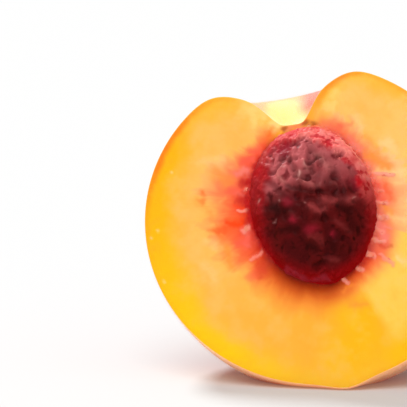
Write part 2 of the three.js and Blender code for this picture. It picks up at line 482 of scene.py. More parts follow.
# The outer flesh is strongest in colour in the first directions, and yellow more than orange in the second.
GOLD_RIM = [(160, 26, 0.8), (-92, 18, -0.35), (-155, 45, 0.9), (-80, 40, 0.3), (-55, 24, 1.1)]
YELLOW_RIM = [(-130, 42, 1.0), (-48, 22, 1.0)]
SKIN_LINE = 0.12  # how strongly the cut edge of the skin shows as an orange line, before the hills below
SKIN_LINE_HILLS = [(145, 24, 0.85), (68, 11, 0.65), (30, 20, 0.4), (112, 12, -0.12)]
SKIN_LINE_WIDTH = [(74, 8, 0.4), (145, 20, 0.5)]  # where the line is wider, in millimetres
PALE_FROM, PALE_TO = -74, -30  # painted light: one sector is paler, for a slight bend of the cut that faces the light more, and it starts at a clear line
# Next to the stone the flesh is crimson, this many millimetres wide in these directions.
CRIMSON_RIM = [(160, 17, 1.7), (127, 8, 0.7), (-178, 9, 1.0), (-150, 20, 0.7), (-50, 9, 0.4)]
SECTOR_BEND, SECTOR_PITCH = 14, 9 * MM  # degrees by which noise bends the borders of a sector, and its pitch

ray_angle = np.degrees(np.tile(around, FACE_RINGS + 1))
bending = noise(np.column_stack([face_rays * 2.2 + 20, from_bed / SECTOR_PITCH])) - 0.5
ray_warp = SECTOR_BEND * bending


def sector(centre, width, steepness=3):
    return bell(turn_between(ray_angle + ray_warp, centre), width, steepness)


print("sectors bend by up to, degrees:", np.abs(ray_warp).max().round(1))

# %% Spots on the flesh
# Each spot has its place in millimetres from the middle of the fruit, its half-width and its strength.
BRUISES = [(-21.8, 11.4, 0.8, 0.8), (-22.2, 9.6, 0.9, 0.7), (-19.4, 2.0, 2.2, 0.5), (-16.8, 3.2, 2.0, 0.5)]
CRIMSON_SPOTS = [
    (-11.2, 11.2, 1.5, 0.9), (-12.8, 11.4, 1.1, 0.6), (-13.2, 7.5, 1.3, 0.5), (-13.0, 9.4, 0.9, 0.4),
    (-13.6, 3.2, 1.0, 0.6), (-9.4, 14.4, 1.0, 0.7), (4.3, 20.3, 0.6, 0.8),
]
CREAM_SPOTS = [
    (0.0, 23.0, 2.2, 1.0), (-3.0, 22.8, 2.0, 0.8), (-6.5, 27.0, 3.0, 0.55), (-8.5, 28.5, 2.5, 0.35),
    (8.9, 24.3, 1.4, 0.4), (10.2, 26.6, 1.4, 0.35),
]
STALK_SPOTS = [
    (-1.9, 21.4, 0.8, 1.0), (2.7, 21.3, 0.9, 1.0), (4.2, 20.8, 0.9, 0.9), (3.3, 20.2, 0.8, 1.0),
]
PEACHY_SPOTS = [(-0.6, 21.2, 1.3, 0.9), (1.4, 21.4, 1.3, 0.9)]
# Painted highlights: small pale dashes where the wet flesh glints.
GLINT_DASHES = [(-27.3, 17.4, 0.3, 0.7), (-32.6, 5.4, 0.35, 0.6), (-34.3, 4.1, 0.3, 0.8), (-33.3, -5.9, 0.3, 0.7)]
RAGGED_PITCH, RAGGEDNESS = 1.3 * MM, 1.4
ragged = np.column_stack([layered(flat_face / RAGGED_PITCH + start) - 0.5 for start in (2, 31)])


def spots(places):
    """How strongly each point lies on one of the soft spots, whose edges are ragged."""
    total = np.zeros(len(on_face))
    for x, z, width, strength in places:
        away = np.linalg.norm(on_face + ragged * width * RAGGEDNESS - [x, z], axis=1)
        total = np.maximum(total, strength * bell(away, width, 3))
    return total


print("crimson spots:", len(CRIMSON_SPOTS), "and cream spots:", len(CREAM_SPOTS))

# %% Patches of the flesh
# Each tint has its colour and its soft lines.
TINTS = {
    "pale_patch": ((254, 210, 142), [
        (16.4, 7.4, 21.3, 5.8, 1.1, 0.9), (18.2, 13.5, 20.3, 11.2, 1, 0.7),
        (13.1, 20.3, 14.3, 17.7, 1, 0.6), (-19.8, 18.4, -16.2, 17.6, 1.1, 0.35),
        (-24.1, -4.3, -22.6, -7.6, 1.1, 0.35), (-22.5, 0.9, -21.3, -0.8, 1, 0.35),
        (15.8, -12.0, 16.8, -13.2, 0.8, 0.8), (16.2, -2.3, 18.7, -4.2, 0.9, 0.6),
    ]),
    "orange_patch": ((254, 150, 56), [
        (-19.1, -1.7, -19.0, -5.8, 1.1, 0.7), (5.0, -19.5, 6.8, -19.9, 1.1, 0.7),
        (14.8, -0.6, 16.7, -2.0, 0.8, 0.7), (14.8, 11.6, 17.5, 8.2, 1.4, 0.8),
        (14.7, 15.3, 15.8, 12.3, 1.1, 0.6), (-18.3, 14.6, -16.1, 12.5, 1.5, 0.6),
        (-22.9, 10.0, -20.7, 5.9, 1.1, 0.4), (3.3, -16.2, 5.2, -15.4, 0.8, 0.5),
    ]),
    "salmon_patch": ((255, 132, 118), [
        (-13.9, 14.0, -11.7, 13.8, 0.9, 0.9), (-14.1, 1.6, -14.4, -1.9, 0.8, 0.5),
        (13.0, -3.8, 14.0, -7.2, 1.1, 0.9), (11.7, 15.5, 12.5, 13.1, 1, 0.6),
        (-14.7, 9.9, -12.8, 8.5, 0.5, 0.5),
    ]),
    "coral_patch": ((255, 96, 72), [
        (-9.5, 18.3, -8.0, 17.4, 1.1, 0.9), (-11.9, 16.1, -10.0, 16.1, 1.1, 0.9),
        (-15.8, 10.6, -13.1, 10.0, 1.1, 0.8), (-16.4, -1.2, -14.2, -1.1, 1.1, 0.7),
        (14.2, 4.6, 14.6, 1.2, 1.3, 0.9), (-15.4, -9.3, -13.8, -8.7, 1.2, 0.5),
        (10.3, 19.1, 12.0, 19.1, 1.1, 0.5),
    ]),
    "vivid_patch": ((254, 66, 2), [
        (-17.3, 3.0, -14.7, 3.1, 1, 1), (-20.5, 2.2, -18.3, 2.2, 0.9, 0.6),
        (16.7, 3.4, 17.2, 0.9, 1.0, 0.5), (-5.5, 21.0, -4.4, 22.1, 0.8, 0.4),
        (-15.2, 7.1, -13.9, 5.0, 0.5, 0.4),
    ]),
    "red_patch": ((208, 32, 18), [
        (-14.2, 8.0, -12.5, 7.8, 1.1, 0.6), (-12.8, 11.7, -11.4, 11.2, 1.1, 0.6),
        (8.7, -11.3, 10.6, -10.4, 0.6, 0.5), (12.7, -8.2, 15.1, -9.2, 0.5, 0.5),
        (-13.3, -6.2, -12.7, -8.6, 1, 0.4),
    ]),
}
PATCH_PITCH, PATCH_BEND = 1.5 * MM, 2.0  # noise bends the patches, in millimetres
bent_face = on_face + astray(flat_face, PATCH_PITCH, 8) * PATCH_BEND
print("soft lines of each tint:", {name: len(lines) for name, (tint, lines) in TINTS.items()})

# %% From three grids to one list of points
def per_point(skin=0, face=0, bed=0):
    """Joins the values of the three grids. The rim takes the face's values."""
    def full(values, count):
        return values if np.ndim(values) else np.full(count, float(values))

    own = len(own_face)
    face_all = full(face, own + len(rim))
    joined = np.concatenate([full(skin, len(skin_flat)), face_all[:own], full(bed, len(bed_points))])
    joined[rim_numbers] = face_all[own:]
    return joined


print("points with values:", len(per_point()))

# %% Values of the cut face
CRIMSON_PITCH, CRIMSON_STRENGTH, CRIMSON_FADE = 1.6 * MM, 0.85, 0.8  # the fade is in millimetres
PALE_EDGE, PALE_FADE = 3, 4  # the pale sector stops this far from the skin and fades over this, millimetres

ragged_rim = hills(ray_angle, 0, CRIMSON_RIM) * (0.3 + 1.4 * layered(flat_face / CRIMSON_PITCH + 9))
crimson_rim = CRIMSON_STRENGTH * np.clip((ragged_rim - from_bed / MM) / CRIMSON_FADE, 0, 1)
reach = np.maximum(hills(ray_angle, RED_REACH, RED_HILLS), 2)
pale = np.clip(turn_between(ray_angle + ray_warp * 0.2, PALE_FROM) / 4, 0, 1)
pale *= (turn_between(ray_angle, PALE_TO) < 0) * np.clip((from_rim / MM - PALE_EDGE) / PALE_FADE, 0, 1)
face_values = {
    "from_skin": from_rim / MM,
    "red_reach": reach,
    "pink_side": sum(strength * sector(at, width) for at, width, strength in PINK_SIDES),
    "amber_side": sector(*STONE_SHADOW_SIDE),
    "gold_sector": sector(*GOLD_SECTOR),
    "gold_rim": hills(ray_angle, 0.15, GOLD_RIM),
    "yellow_rim": hills(ray_angle, 0, YELLOW_RIM),
    "pale": pale,
    "skin_line": hills(ray_angle, SKIN_LINE, SKIN_LINE_HILLS),
    "bruise": spots(BRUISES),
    "cream": spots(CREAM_SPOTS),
    "stalk_bits": spots(STALK_SPOTS),
    "crimson": np.maximum(spots(CRIMSON_SPOTS), crimson_rim),
    "peachy": spots(PEACHY_SPOTS),
    "dashes": spots(GLINT_DASHES),
    "shreds": shreds,
    "line_width": hills(ray_angle, 0, SKIN_LINE_WIDTH),
    "collar": np.clip(climb / MM, 0, 1),
}
face_values |= {name: strokes(bent_face, lines) for name, (tint, lines) in TINTS.items()}
print("red reaches, mm:", reach.min().round(1), "to", reach.max().round(1))

# %% Attributes of the half
STONE_REACH = 15  # millimetres, a typical distance from the stone's middle to its edge
FAR = 99  # millimetres from the stone, so that no red reaches the skin and the bed
HAIRLESS, BARE_EDGE = 1.0 * MM, 0.4 * MM  # no down grows this near the ground or this near the cut

for name, values in face_values.items():
    store(half.data, name, per_point(face=values))
store(half.data, "from_stone", per_point(skin=FAR, face=np.maximum(from_bed, 0) / MM, bed=FAR))
ray = np.column_stack([face_rays * STONE_REACH, from_bed / MM])
store(half.data, "ray", np.column_stack([per_point(face=ray[:, i]) for i in range(3)]))
store(half.data, "behind", per_point(skin=behind / MM))
store(half.data, "polar", per_point(skin=skin_polar.ravel(), face=0))
store(half.data, "in_fruit", half_points / MM)
downy = (stand(skin_round)[:, 2] > HAIRLESS) * (behind > BARE_EDGE)
store(half.data, "downy", per_point(skin=downy.astype(float)))
drop_loose(half.data)
print("attributes of the half:", len(half.data.attributes))

# %% [markdown]
# ## Node trees written as expressions
#
# A material is a tree of nodes. Wiring dozens of Math nodes by hand hides the idea behind them, so one
# small class wraps an output socket and gives it the operators of Python. `streaks * 2 + 1` then adds two
# Math nodes. A second class owns the tree and makes every other node from its type, its settings and its
# sockets. Shader trees and Geometry Nodes trees are built the same way, so both use it. Colours come first,
# since the trees mix them.

# %% Colours
def colour(red, green, blue):
    """A colour as a paint program names it, from 0 to 255, in the linear values that Blender works with."""
    def linear(value):
        value /= 255
        return value / 12.92 if value <= 0.04045 else ((value + 0.055) / 1.055) ** 2.4

    return (linear(red), linear(green), linear(blue), 1)


print("half bright grey in linear light:", round(colour(128, 128, 128)[0], 3))

# %% A socket that can stand in an expression
class Signal:
    """One output of a node, with the operators of Python."""

    def __init__(self, graph, socket):
        self.graph = graph
        self.socket = socket

    def __add__(self, other):
        return self.graph.maths("ADD", self, other)

    def __sub__(self, other):
        return self.graph.maths("SUBTRACT", self, other)

    def __rsub__(self, other):
        return self.graph.maths("SUBTRACT", other, self)

    def __mul__(self, other):
        return self.graph.maths("MULTIPLY", self, other)

    def __truediv__(self, other):
        return self.graph.maths("DIVIDE", self, other)

    def __rtruediv__(self, other):
        return self.graph.maths("DIVIDE", other, self)

    __radd__ = __add__
    __rmul__ = __mul__

    def other(self, name):
        """Another output of the same node."""
        return Signal(self.graph, self.socket.node.outputs[name])


print("operators that also work from the right:", [name.strip("_") for name in vars(Signal) if "__r" in name])

# %% A tree and its nodes
class Graph:
    def __init__(self, tree):
        self.tree = tree

    def add(self, kind, settings=None, sockets=None, output=0):
        """One node: its type, its settings, which come first, and the values or links of its sockets."""
        node = self.tree.nodes.new(kind)
        for name, value in (settings or {}).items():
            if name == "stops":
                self.fill_ramp(node.color_ramp, value)
            else:
                setattr(node, name, value)
        for name, value in (sockets or {}).items():
            if isinstance(value, Signal):
                self.tree.links.new(value.socket, node.inputs[name])
            else:
                node.inputs[name].default_value = value
        return Signal(self, node.outputs[output]) if node.outputs else node

    @staticmethod
    def fill_ramp(ramp, stops):
        first, last = ramp.elements
        first.position, first.color = stops[0]
        last.position, last.color = stops[-1]
        for position, tint in stops[1:-1]:
            ramp.elements.new(position).color = tint

    def maths(self, operation, *values):
        return self.add("ShaderNodeMath", {"operation": operation}, dict(enumerate(values)))

    def ramp(self, value, *stops):
        """A colour that changes with a value. Each stop is a position, then red, green and blue."""
        stops = [(position, colour(*tint)) for position, *tint in stops]
        return self.add("ShaderNodeValToRGB", {"stops": stops}, {0: value})

    def mix(self, factor, below, above):
        """Lays one colour over another as far as the factor says. A colour is a signal or three numbers."""
        below, above = [tint if isinstance(tint, Signal) else colour(*tint) for tint in (below, above)]
        settings = {"data_type": "RGBA", "blend_type": "MIX", "clamp_factor": True}
        return self.add("ShaderNodeMix", settings, {0: factor, 6: below, 7: above}, output=2)

    def coats(self, below, *coats):
        """Lays each coat, a mask and a colour, over all the coats below it."""
        for mask, tint in coats:
            below = self.mix(mask, below, tint)
        return below

    def step(self, low, high, value):
        """0 below low, 1 above high and a soft slope between. With low above high it falls instead."""
        settings = {"interpolation_type": "SMOOTHSTEP"}
        if low < high:
            return self.add("ShaderNodeMapRange", settings, {0: value, 1: low, 2: high, 3: 0.0, 4: 1.0})
        return self.add("ShaderNodeMapRange", settings, {0: value, 1: high, 2: low, 3: 1.0, 4: 0.0})

    def attribute(self, name, vector=False):
        output = "Vector" if vector else "Fac"
        return self.add("ShaderNodeAttribute", {"attribute_name": name}, output=output)

    def scaled(self, vector, x, y, z):
        return self.add("ShaderNodeVectorMath", {"operation": "MULTIPLY"}, {0: vector, 1: (x, y, z)})

    def noise(self, vector, scale=1.0, detail=2.0, roughness=0.5, distortion=0.0):
        values = {"Vector": vector, "Scale": scale, "Detail": detail, "Roughness": roughness}
        return self.add("ShaderNodeTexNoise", None, {**values, "Distortion": distortion})

    def bump(self, strength, distance, height):
        values = {"Strength": strength, "Distance": distance, "Height": height}
        return self.add("ShaderNodeBump", None, values)


print("a tree can make:", ", ".join(name for name in vars(Graph) if not name.startswith("_")))

# %% Materials
MM_PER_M = 1000  # a pattern's scale is its number of lumps in a metre


def new_material(name, **constants):
    """A material with one Principled shader, whose constant values are set on its own sockets."""
    made = bpy.data.materials.new(name)
    made.use_nodes = True
    shader = made.node_tree.nodes["Principled BSDF"]
    for socket, value in constants.items():
        shader.inputs[socket.replace("_", " ")].default_value = value
    return made, Graph(made.node_tree), shader


def feed(shader, **signals):
    """Links what changes over the surface to the shader's sockets, and says how large the tree is."""
    for socket, signal in signals.items():
        signal.graph.tree.links.new(signal.socket, shader.inputs[socket.replace("_", " ")])
    print(", ".join(signals), "fed by a tree of", len(shader.id_data.nodes), "nodes")


# %% [markdown]
# ## The cut flesh
#
# Wet peach flesh lets light in, which blurs small shadows and makes the whole face glow. Subsurface
# scattering does that, with red light travelling furthest. The colour is a map of two distances: crimson at
# the stone, coral and orange streaks along the fibres, pale orange in the middle and gold under the skin.
# The noise is stretched along the fibres, so each streak runs out from the stone.

# %% Noises of the flesh
flesh, g, shader = new_material(
    "cut_flesh",
    Subsurface_Weight=0.35,
    Subsurface_Radius=(1.0, 0.35, 0.12),
    Subsurface_Scale=2.5 * MM,
    Specular_IOR_Level=0.05,
    Roughness=0.42,
)
place = g.add("ShaderNodeTexCoord", output="Object")
fibres = g.attribute("ray", vector=True)
broad = g.noise(g.scaled(fibres, 0.22, 0.22, 0.05), detail=1.5, distortion=0.3)
streaks = g.noise(g.scaled(fibres, 0.55, 0.55, 0.2), detail=2.0, roughness=0.5, distortion=0.8)
threads = g.noise(g.scaled(fibres, 3.2, 3.2, 0.22), detail=2.0)
patches = g.noise(place, scale=0.11 * MM_PER_M, detail=1.5)
clouding = g.noise(place, scale=0.24 * MM_PER_M, detail=2.5, roughness=0.55)
print("noises of the flesh:", len(flesh.node_tree.nodes), "nodes")

# %% From the stone outwards
# Redness is 0 at the stone and 0.8 where the red ends. Each side of the stone has its own run of colours.
from_stone = g.attribute("from_stone")
streakiness = 0.95 - g.attribute("amber_side") * 0.7
spread = 1 + (broad - 0.5) * 1.3 + (streaks - 0.5) * streakiness
red_share = from_stone / (g.attribute("red_reach") * spread)
redness = red_share * 0.8
fiery = g.ramp(
    redness, (0.00, 150, 16, 16), (0.05, 200, 42, 34), (0.14, 228, 62, 36), (0.28, 250, 88, 50),
    (0.42, 254, 112, 62), (0.56, 254, 142, 76), (0.72, 254, 168, 86), (0.90, 254, 188, 90),
)
coral = g.ramp(
    redness, (0.00, 250, 116, 98), (0.05, 252, 124, 100), (0.14, 252, 134, 104), (0.28, 254, 144, 98),
    (0.42, 254, 160, 104), (0.60, 254, 180, 118), (0.80, 254, 196, 130), (0.95, 254, 198, 106),
)
# Painted shadow: this brownish run stands for the shade that the stone casts on the flesh below it.
stone_shadow_run = g.ramp(
    redness, (0.00, 128, 22, 14), (0.07, 158, 44, 8), (0.16, 186, 68, 12), (0.28, 214, 96, 26),
    (0.40, 234, 124, 40), (0.58, 250, 154, 54), (0.80, 254, 172, 52), (0.95, 254, 180, 58),
)
pink_side = g.attribute("pink_side") + (broad - 0.5) * 0.8
red_to_pale = g.mix(g.attribute("amber_side"), g.mix(pink_side, fiery, coral), stone_shadow_run)
print("with the red round the stone:", len(flesh.node_tree.nodes), "nodes")

# %% Gold under the skin
from_skin = g.attribute("from_skin")
outer = g.step(0.7, 1.25, red_share)
gold_edge = from_skin + (patches - 0.5) * 7 + (clouding - 0.5) * 5 - g.attribute("gold_rim") * 3
gold = g.step(5.5, -1.5, gold_edge)
rim_tone = g.mix(g.attribute("yellow_rim"), (254, 182, 14), (254, 202, 14))
gold_tone = g.mix(g.attribute("gold_rim") * 1.1, (254, 190, 60), rim_tone)
flesh_colour = g.coats(
    red_to_pale,
    (g.attribute("gold_sector") * g.step(3, 8, from_stone), (254, 188, 12)),
    (gold, gold_tone),
    # Painted light: the paler sector, where the cut bends a little towards the light.
    (g.attribute("pale") * g.step(3, 7, from_stone) * 0.85, (255, 208, 84)),
    (g.step(0.4, 0.75, clouding) * outer * (1 - gold) * 0.25, (255, 204, 122)),
    (g.step(0.55, 0.3, clouding) * outer * 0.2, (254, 170, 50)),
)
print("with the gold:", len(flesh.node_tree.nodes), "nodes")

# %% Marks on the flesh
uneven = 0.6 + clouding * 0.7
torn = g.attribute("shreds") * (0.5 + clouding)
near_skin = from_skin - g.attribute("line_width") + (streaks - 0.5) * 1.2
pulp_tone = g.mix(g.step(0.35, 0.65, clouding), (220, 70, 64), (250, 128, 112))
face_colour = g.coats(
    flesh_colour,
    (g.attribute("bruise"), (244, 112, 44)),
    (g.attribute("dashes"), (255, 218, 140)),
    (g.attribute("peachy"), (232, 140, 92)),
    (g.attribute("cream") * g.step(0.8, 2.4, from_stone), (255, 230, 146)),
    *((g.attribute(name) * uneven, tint) for name, (tint, lines) in TINTS.items()),
    (g.step(0.0, 0.45, torn) * 0.6, (255, 140, 120)),
    (g.step(0.15, 0.9, torn) * 0.6, (255, 164, 144)),
    (g.step(1.6, 0.0, near_skin) * g.attribute("skin_line"), (252, 130, 26)),
    (g.attribute("collar") * pink_side * 0.6, pulp_tone),
    (g.attribute("crimson"), (186, 24, 26)),
    (g.attribute("stalk_bits") * 0.9, (172, 88, 32)),
)
roughness = threads * 0.5 + streaks * 0.3 + g.noise(place, scale=1.1 * MM_PER_M, detail=2.0) * 0.4
feed(shader, Base_Color=face_colour, Normal=g.bump(0.25, 0.25 * MM, roughness), Roughness=0.5 - streaks * 0.2)

# %% [markdown]
# ## The skin
#
# A peach skin is yellow underneath and blushes red where the sun reached it, in soft clouds drawn out from
# stem to tip. In the cavity at the stem it stays cream. The colours could be painted on a UV map, but the
# fruit's own coordinates are simpler: they were kept as an attribute, so the blush follows the fruit and
# not the room. A sheen stands for the light that the finest down catches.

# %% Blush of the skin
skin, g, shader = new_material(
    "peach_skin",
    Subsurface_Weight=0.6,
    Subsurface_Radius=(1.0, 0.4, 0.2),
    Subsurface_Scale=4 * MM,
    Specular_IOR_Level=0.2,
    Roughness=0.6,
    Sheen_Weight=0.35,
    Sheen_Roughness=0.45,
    Sheen_Tint=(1.0, 0.88, 0.8, 1.0),
    Emission_Strength=0.3,
)
in_fruit = g.attribute("in_fruit", vector=True)
fruit_axes = g.add("ShaderNodeSeparateXYZ", None, {0: in_fruit})
behind_cut = g.attribute("behind")
clouds = g.noise(in_fruit, scale=0.05, detail=2.5, roughness=0.55, distortion=0.4)
meridians = g.noise(g.scaled(in_fruit, 0.3, 0.3, 0.045), detail=3.0, roughness=0.6)
flecks = g.noise(in_fruit, scale=1.1, detail=2.0)
blush = (clouds - 0.5) * 1.9 + (meridians - 0.5) * 0.9 + (flecks - 0.5) * 0.3
calm = g.step(-2, 7, behind_cut)  # the blush fades towards the cut edge
blush = blush * calm + g.step(2, 18, behind_cut) * 0.64 + 0.03
blushed = g.ramp(
    blush, (0.00, 253, 178, 118), (0.22, 251, 160, 96), (0.42, 240, 116, 68),
    (0.62, 204, 58, 38), (0.82, 164, 28, 26), (1.00, 122, 18, 26),
)
print("blush of the skin:", len(skin.node_tree.nodes), "nodes")

# %% Skin at the stem and at the cut edge
from_stem = 180 - g.attribute("polar")
across = fruit_axes.other("X") + (clouds - 0.5) * 4
shoulder = g.mix(g.step(1, 5, across), (242, 166, 112), (238, 98, 78))
from_funnel = from_stem + g.step(-2, 5, across) * 8 + g.step(-3, -9, across) * 8 + (meridians - 0.5) * 5
skin_colour = g.coats(
    blushed,
    (g.step(32, 20, from_stem + (clouds - 0.5) * 10), shoulder),
    (g.step(20, 11, from_funnel), (252, 218, 134)),
    (g.step(5.5, 3.5, from_stem + (flecks - 0.5) * 3), (176, 118, 62)),
)
# A painted glow: emission near the thin cut edge, where the skin turns under, stands in for light that
# entered the cut face and leaks out, and lightens the shaded underside.
turned_under = g.step(-4, -22, fruit_axes.other("Z"))
painted_edge_glow = g.mix(g.step(4.5, 0.3, behind_cut) * turned_under, (0, 0, 0), (255, 184, 122))
feed(shader, Base_Color=skin_colour, Emission_Color=painted_edge_glow, Normal=g.bump(0.15, 0.1 * MM, flecks))

# %% [markdown]
# ### The bed
#
# Behind the stone the flesh is a dark wet hollow. Only a hairline of it shows round the stone, but a
# hairline of the wrong colour would draw a bright ring, so it gets a crimson of its own.

# %% Bed material
bed, g, shader = new_material(
    "stone_bed",
    Subsurface_Weight=0.25,
    Subsurface_Radius=(1.0, 0.2, 0.1),
    Subsurface_Scale=2 * MM,
    Specular_IOR_Level=0.2,
    Roughness=0.4,
    Base_Color=colour(150, 20, 22),
)

for covering in (skin, flesh, bed):
    half.data.materials.append(covering)
print("materials on the half:", [m.name for m in half.data.materials])

# %% [markdown]
# ## The stone
#
# The stone is a flattened oval with deep winding furrows. The solid has the furrows too, with flat facets.
# Here the same rule runs on a fine grid, with soft shoulders. Pulp still fills the furrows along the edge
# where the stone meets the flesh, so they fade out there.

# %% Stone grid
STONE_ROWS, STONE_TURNS = 230, 340
PULP_WIDTH = 1.7 * MM
FURROW_SHARE = 0.45  # the rest of each furrow's depth is filled with pulp
FOLD_RISE, HOLLOW_DEPTH = 0.45, 0.5  # millimetres

stone_polars = np.linspace(0, 180, STONE_ROWS + 1)
stone_turns = np.linspace(0, 360, STONE_TURNS + 1)[:-1]
stone_polar, stone_turn = np.meshgrid(stone_polars, stone_turns, indexing="ij")
half_sizes = np.tile(STONE_HALF, stone_polar.shape + (1,))
half_sizes[..., 2] += STONE_TIP_HEIGHT * bell(stone_polar, STONE_TIP_ANGLE)
oval = (direction(stone_polar, stone_turn) * half_sizes + STONE_MIDDLE).reshape(-1, 3)


def furrow(points):
    """0 on the ridges and 1 at the bottom of a furrow."""
    place = points / FURROW_PITCH / np.array([1, 1, FURROW_STRETCH])
    bend = FURROW_BEND * (noise(place * 0.6 + [7, 3, 5]) - 0.5)
    winding = noise(place + np.outer(bend, [1, -1, 2]))
    sharp = 1 - np.minimum(1, np.abs(winding - 0.5) * FURROW_SHARPNESS)
    return sharp * sharp * (3 - 2 * sharp)


furrows = furrow(oval)
print("stone grid:", stone_polar.shape)

# %% [markdown]
# ### Folds, hollows and pulp on the stone
#
# Every stone has its own face. The folds, hollows, clots and pink lumps of this one are listed as short soft
# lines, each with two ends, a half-width and a strength, in millimetres right of and above the stone's
# middle, and so are the painted highlights of its wet glints and a painted sheen along its lower edge. Noise
# bends them, so none stays straight. A film of pulp covers the rim of the stone, widest at the upper right,
# with a ragged edge.

# %% Listed folds
FOLDS = [
    (-1.5, 5.7, -1.6, 4.2, 0.6, 1.0), (-1.6, 4.2, -0.2, 2.7, 0.6, 1.0), (-0.2, 2.7, 2.2, 1.9, 0.8, 0.6),
    (-6.5, 5.8, -5.0, 4.1, 0.4, 0.7), (-4.8, 8.1, -6.5, 5.8, 0.4, 0.6), (0.4, 7.4, 0.8, 6.5, 0.7, 0.9),
    (3.6, 8.6, 5.0, 5.4, 0.9, 0.5), (5.6, 1.7, 6.4, 1.3, 0.8, 0.6), (2.3, -2.1, 8.2, -2.6, 1.1, 0.9),
    (8.2, -2.3, 9.5, -1.8, 1.0, 1.0), (-0.6, -2.3, 2.2, -4.1, 0.9, 1.0), (-1.7, -1.0, -1.2, -1.7, 0.6, 0.8),
    (-5.5, -3.1, -4.4, -4.6, 0.7, 0.4), (-2.2, -9.0, 0.5, -10.5, 0.9, 0.3),
    (0.2, -13.9, 3.0, -14.3, 0.5, 0.4), (4.4, -7.2, 6.8, -9.6, 0.6, 0.3),
]
HOLLOWS = [
    (-1.8, 0.7, 3.4, -0.4, 0.55, 0.6), (2.0, 7.8, 3.3, 8.2, 0.45, 0.9), (2.1, 7.6, 2.2, 5.2, 0.4, 0.6),
    (-9.2, -0.4, -6.4, -2.2, 1.7, 1.0), (5.8, -4.4, 8.4, -5.2, 1.2, 0.9), (7.8, -6.0, 7.8, -9.0, 1.4, 0.8),
    (-7.7, -6.1, -4.6, -7.0, 1.0, 0.9), (-2.6, -11.3, -1.4, -11.6, 1.1, 1.0),
    (2.4, -12.6, 3.4, -10.8, 1.1, 1.0), (9.0, 1.2, 9.4, 0.2, 0.9, 0.8), (6.5, 4.2, 6.3, 2.8, 0.7, 0.8),
    (-4.6, 3.2, -2.4, 1.8, 0.6, 0.7), (0.2, -5.4, 3.4, -6.4, 0.8, 0.5), (-3.6, 9.4, -1.4, 9.0, 0.6, 0.4),
]
CLOTS = [
    (-5.4, 0.2, -5.0, -0.4, 1.0, 0.8), (-5.0, -4.8, -4.6, -5.2, 0.8, 1.0),
    (-1.9, -7.7, -0.6, -7.8, 0.9, 0.8), (3.1, -10.0, 3.3, -10.3, 0.6, 1.0),
    (-5.0, 12.4, -2.9, 13.0, 1.4, 1.0), (-1.4, 15.2, -0.9, 15.2, 0.8, 0.8),
    (-2.2, 15.9, -0.4, 16.2, 0.6, 0.9), (3.6, 16.2, 4.2, 16.0, 0.6, 0.7), (4.8, 11.2, 5.0, 11.0, 0.9, 0.8),
    (6.1, 10.1, 6.5, 9.8, 0.7, 0.7), (10.2, 6.6, 10.5, 6.2, 0.8, 0.7), (10.6, 1.4, 10.8, 0.6, 0.9, 0.9),
    (-9.8, 9.5, -10.4, 8.4, 1.0, 0.7), (-8.6, 6.6, -8.2, 6.0, 0.7, 0.4),
]
PINK_LUMPS = [
    (1.4, 14.9, 3.2, 14.8, 1.0, 0.9), (5.5, 14.2, 5.9, 14.0, 0.9, 0.9), (8.8, 9.0, 9.2, 8.6, 0.9, 1.0),
    (11.2, 6.0, 11.4, 5.6, 0.8, 1.0), (12.4, 2.6, 12.6, 2.2, 0.8, 0.9), (7.2, 8.6, 7.4, 8.4, 0.7, 0.6),
    (8.0, 11.6, 8.6, 11.0, 0.8, 0.7), (-3.0, 14.2, -2.6, 14.3, 0.6, 0.5),
]
# Painted highlights: small wet glints on the stone.
PAINTED_GLINTS = [
    (-1.5, 5.6, -1.6, 5.3, 0.35, 0.8), (0.5, 7.1, 0.6, 7.0, 0.4, 0.4), (-4.2, 7.7, -4.1, 7.6, 0.3, 0.5),
    (-7.2, 0.5, -7.1, 0.5, 0.25, 0.3), (-10.8, 2.0, -10.7, 2.0, 0.3, 0.5),
    (-9.5, -3.4, -9.4, -3.4, 0.2, 0.3), (-1.5, -1.5, -1.4, -1.5, 0.25, 0.3),
    (11.5, 5.8, 11.6, 5.7, 0.35, 0.5), (8.9, -2.0, 9.1, -2.0, 0.3, 0.3),
]
# Painted sheen: a mauve crescent along the stone's lower edge.
PAINTED_SHEEN_CRESCENT = [(-8.5, -12.9, -3.9, -16.2, 0.3, 0.9), (-3.9, -16.2, 0.1, -16.9, 0.3, 0.9)]
print("folds, hollows and clots:", len(FOLDS), len(HOLLOWS), len(CLOTS))

# %% Where the folds lie
FOLD_PITCH, FOLD_BEND = 2.2 * MM, 1.8  # noise bends the folds, in millimetres

front = (oval - STONE_MIDDLE)[:, [0, 2]] / MM
bent_front = front + astray(oval, FOLD_PITCH, 11) * FOLD_BEND
folds, hollows, clots, pink_lumps, painted_glints, crescent = [
    strokes(bent_front, lines) * (oval[:, 1] < 0)
    for lines in (FOLDS, HOLLOWS, CLOTS, PINK_LUMPS, PAINTED_GLINTS, PAINTED_SHEEN_CRESCENT)
]
print("points on folds:", (folds > 0.5).sum(), "and in hollows:", (hollows > 0.5).sum())

# %% Film of pulp
FILM_WIDTH = 0.9  # millimetres of film that show inside the stone's outline, before the hills below
FILM_HILLS = [
    (80, 30, 2.3), (40, 24, 2.0), (0, 24, 1.9), (140, 22, 2.6), (166, 14, 0.9), (180, 22, 1.9),
    (-100, 22, 0.7),
]
FILM_BLUR, FILM_BLUR_HILL = 1.8, (60, 60, -1.1)  # how softly its inner edge ends, in millimetres
PINK_SECTOR = (58, 58)  # the film is pale pink at the upper right and crimson elsewhere
FILM_EDGE_PITCH, FILM_LUMP_PITCH = 1.9 * MM, 1.0 * MM
FILM_THICKNESS = 0.5 * MM
FILM_LIP = 0.12 * MM  # it laps over the collar by this much, and its lumps rise higher still
FILM_RISE = 0.3 * MM
BURIED = 0.5 * MM  # lumps fade out this far below the collar's edge
HEM = 0.4 * MM  # the part of the film that touches the collar
RIM_START, RIM_FADE = 0.92, 0.06  # of the outline: the last millimetre before the flesh
FILM_SMOOTHS = 0.75  # how much of the wrinkles the film hides

